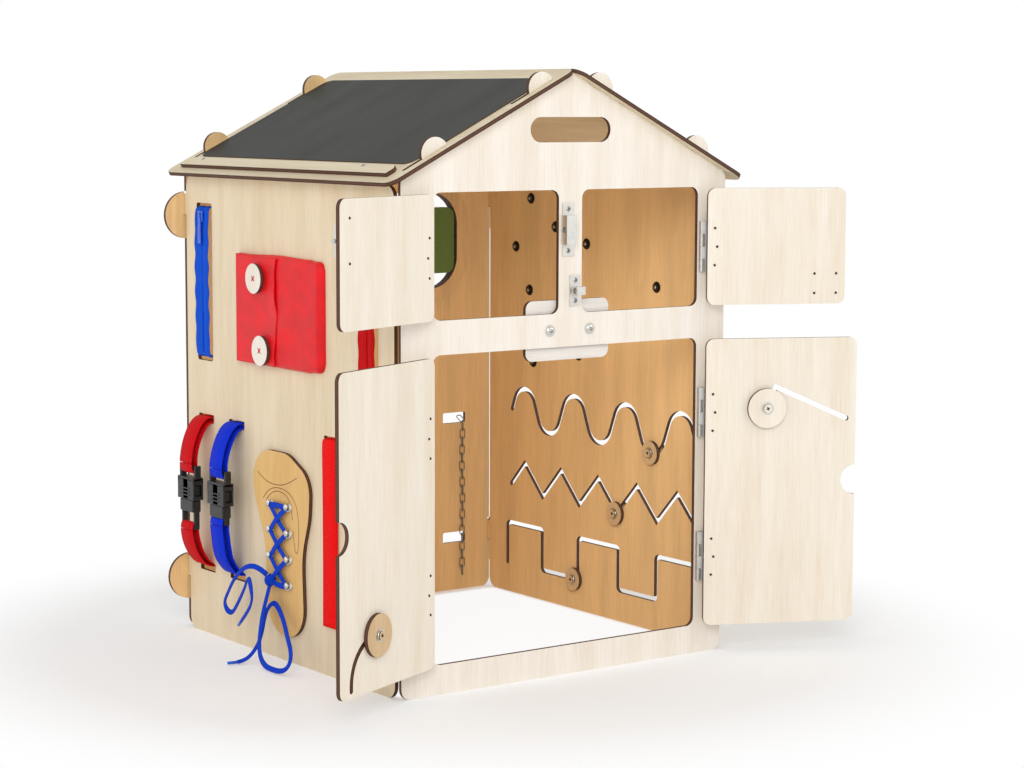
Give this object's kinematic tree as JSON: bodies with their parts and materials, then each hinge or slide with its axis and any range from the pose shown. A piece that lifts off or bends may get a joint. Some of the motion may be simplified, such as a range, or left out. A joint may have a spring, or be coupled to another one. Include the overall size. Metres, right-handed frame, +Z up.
{
  "type": "wooden busy board",
  "caption": "Plywood busy house with hinged doors, chalkboard roof, sliding knobs, zips, straps, lacing shoe and gears.",
  "frame": {"origin": "middle of the front panel's bottom edge, at mid-thickness, on the floor", "axes": "+Z up, +X to the right seen from the front, +Y from the front panel towards the back panel"},
  "size_m": [0.6192, 0.499, 0.588],
  "materials": {
    "birch_ply": "sanded birch plywood with laser-burnt edges",
    "shoe_ply": "varnished plywood with engraved lines",
    "chalkboard": "matt dark chalkboard foil",
    "green_paint": "matt green paint on plywood",
    "steel": "zinc-plated steel",
    "blue_webbing": "woven polyester webbing",
    "blue_lace": "flat woven shoelace",
    "red_webbing": "woven polyester webbing",
    "red_leather": "smooth soft imitation leather",
    "black_plastic": "satin black moulded plastic",
    "blue_enamel": "blue enamelled zip slider",
    "red_enamel": "red enamelled zip slider"
  },
  "bodies": {
    "house": {"front_panel": "birch_ply", "back_panel": "birch_ply", "left_panel": "birch_ply", "right_panel": "birch_ply", "roof_left": "birch_ply", "roof_right": "birch_ply", "chalkboard": "chalkboard", "chalk_ledge": "birch_ply", "door_stop_plate": "birch_ply", "wall_bolts": "steel", "hinge_fixed_leaves": "steel", "bolt_keepers": "steel", "window_frame": "birch_ply", "spin_panel_axle": "steel", "blue_zip_tape": "blue_webbing", "red_zip_tape": "red_webbing", "wallet_pocket": "red_leather", "wallet_flap": "red_leather", "wallet_buttons": "birch_ply", "red_strap_upper": "red_webbing", "red_strap_lower": "red_webbing", "blue_strap_upper": "blue_webbing", "blue_strap_lower": "blue_webbing", "buckle_sockets": "black_plastic", "velcro_strap": "red_webbing", "shoe_board": "shoe_ply", "lace_hooks": "steel", "lacing": "blue_lace", "lace_strand_left": "blue_lace", "lace_strand_right": "blue_lace", "aglets": "black_plastic", "pull_chain": "steel"},
    "upper_left_door": {"door_upper_left": "birch_ply", "hinge_upper_left": "steel", "latch_housing": "steel"},
    "upper_right_door": {"door_upper_right": "birch_ply", "hinge_upper_right": "steel", "barrel_bolt_housing": "steel"},
    "lower_left_door": {"door_lower_left": "birch_ply", "hinge_lower_left": "steel"},
    "lower_right_door": {"door_lower_right": "birch_ply", "hinge_lower_right": "steel"},
    "latch_rod_body": {"latch_rod": "steel"},
    "barrel_bolt_rod_body": {"barrel_bolt_rod": "steel"},
    "knob_lower_left_body": {"knob_lower_left": "birch_ply"},
    "knob_lower_right_body": {"knob_lower_right": "birch_ply"},
    "maze_knob_sine_body": {"maze_knob_sine": "birch_ply"},
    "maze_knob_zigzag_body": {"maze_knob_zigzag": "birch_ply"},
    "maze_knob_square_body": {"maze_knob_square": "birch_ply"},
    "spin_panel_body": {"spin_panel": "green_paint"},
    "blue_zip_slider_body": {"blue_zip_slider": "blue_enamel"},
    "red_zip_slider_body": {"red_zip_slider": "red_enamel"},
    "red_buckle_plug_body": {"red_buckle_plug": "black_plastic"},
    "blue_buckle_plug_body": {"blue_buckle_plug": "black_plastic"},
    "gear_front_body": {"gear_front": "birch_ply"},
    "gear_middle_body": {"gear_middle": "birch_ply"},
    "gear_top_body": {"gear_top": "birch_ply"},
    "gear_large_body": {"gear_large": "birch_ply"},
    "gear_low_body": {"gear_low": "birch_ply"},
    "finger_wheel_body": {"finger_wheel": "birch_ply"}
  },
  "joints": [
    {"name": "upper_left_door_hinge", "type": "hinge", "parent": "house", "child": "upper_left_door", "pos_m": [-0.1629, -0.0045, 0.41375], "axis": [0, 0, 1], "range_deg": [-9, 158.8]},
    {"name": "upper_right_door_hinge", "type": "hinge", "parent": "house", "child": "upper_right_door", "pos_m": [0.1629, -0.0045, 0.41375], "axis": [0, 0, 1], "range_deg": [-154.8, 13]},
    {"name": "lower_left_door_hinge", "type": "hinge", "parent": "house", "child": "lower_left_door", "pos_m": [-0.1629, -0.0045, 0.1735], "axis": [0, 0, 1], "range_deg": [-12, 155.8]},
    {"name": "lower_right_door_hinge", "type": "hinge", "parent": "house", "child": "lower_right_door", "pos_m": [0.1629, -0.0045, 0.1735], "axis": [0, 0, 1], "range_deg": [-154.8, 13]},
    {"name": "latch_slide", "type": "slide", "parent": "upper_left_door", "child": "latch_rod_body", "axis": [-0.9336, -0.3584, 0], "range_m": [0, 0.012]},
    {"name": "barrel_bolt_slide", "type": "slide", "parent": "upper_right_door", "child": "barrel_bolt_rod_body", "axis": [0.9063, -0.4226, 0], "range_m": [0, 0.012]},
    {"name": "bent_slot_slide", "type": "slide", "parent": "lower_right_door", "child": "knob_lower_right_body", "axis": [0.3923, -0.1829, 0.9015], "range_m": [-0.0095, 0.0233]},
    {"name": "arc_slot_turn", "type": "hinge", "parent": "lower_left_door", "child": "knob_lower_left_body", "pos_m": [-0.25654, -0.05111, 0.04], "axis": [0.4067, -0.9135, 0], "range_deg": [0, 75]},
    {"name": "sine_slot_turn", "type": "hinge", "parent": "house", "child": "maze_knob_sine_body", "pos_m": [0.195, 0.1067, 0.2102], "axis": [1, 0, 0], "range_deg": [-55, 55]},
    {"name": "zigzag_slot_slide", "type": "slide", "parent": "house", "child": "maze_knob_zigzag_body", "axis": [0, -0.7021, 0.7121], "range_m": [0, 0.047]},
    {"name": "square_slot_slide", "type": "slide", "parent": "house", "child": "maze_knob_square_body", "axis": [0, 1, 0], "range_m": [0, 0.057]},
    {"name": "spin_panel_turn", "type": "hinge", "parent": "house", "child": "spin_panel_body", "pos_m": [0.091, 0.408, 0.402], "axis": [1, 0, 0], "continuous": true},
    {"name": "blue_zip_slide", "type": "slide", "parent": "house", "child": "blue_zip_slider_body", "axis": [0, 0, 1], "range_m": [-0.13, 0]},
    {"name": "red_zip_slide", "type": "slide", "parent": "house", "child": "red_zip_slider_body", "axis": [0, 0, 1], "range_m": [-0.13, 0]},
    {"name": "red_buckle_release", "type": "slide", "parent": "house", "child": "red_buckle_plug_body", "axis": [0, 0, -1], "range_m": [0, 0.025], "deforming": ["red_strap_lower"]},
    {"name": "blue_buckle_release", "type": "slide", "parent": "house", "child": "blue_buckle_plug_body", "axis": [0, 0, -1], "range_m": [0, 0.025], "deforming": ["blue_strap_lower"]},
    {"name": "gear_front_spin", "type": "hinge", "parent": "house", "child": "gear_front_body", "pos_m": [0.1993, 0.222, 0.4045], "axis": [1, 0, 0], "continuous": true},
    {"name": "gear_middle_spin", "type": "hinge", "parent": "house", "child": "gear_middle_body", "pos_m": [0.1993, 0.27823, 0.42062], "axis": [1, 0, 0], "continuous": true},
    {"name": "gear_top_spin", "type": "hinge", "parent": "house", "child": "gear_top_body", "pos_m": [0.1993, 0.32326, 0.45043], "axis": [1, 0, 0], "continuous": true},
    {"name": "gear_large_spin", "type": "hinge", "parent": "house", "child": "gear_large_body", "pos_m": [0.1993, 0.35138, 0.39573], "axis": [1, 0, 0], "continuous": true},
    {"name": "gear_low_spin", "type": "hinge", "parent": "house", "child": "gear_low_body", "pos_m": [0.1993, 0.32569, 0.34823], "axis": [1, 0, 0], "continuous": true},
    {"name": "finger_wheel_spin", "type": "hinge", "parent": "house", "child": "finger_wheel_body", "pos_m": [0.1993, 0.102, 0.365], "axis": [1, 0, 0], "continuous": true}
  ],
  "couplings": [
    {"joint": "gear_middle_spin", "follows": "gear_front_spin", "ratio": -1.1667},
    {"joint": "gear_top_spin", "follows": "gear_front_spin", "ratio": 1.1667},
    {"joint": "gear_large_spin", "follows": "gear_front_spin", "ratio": -0.91304},
    {"joint": "gear_low_spin", "follows": "gear_front_spin", "ratio": 1.6154}
  ]
}
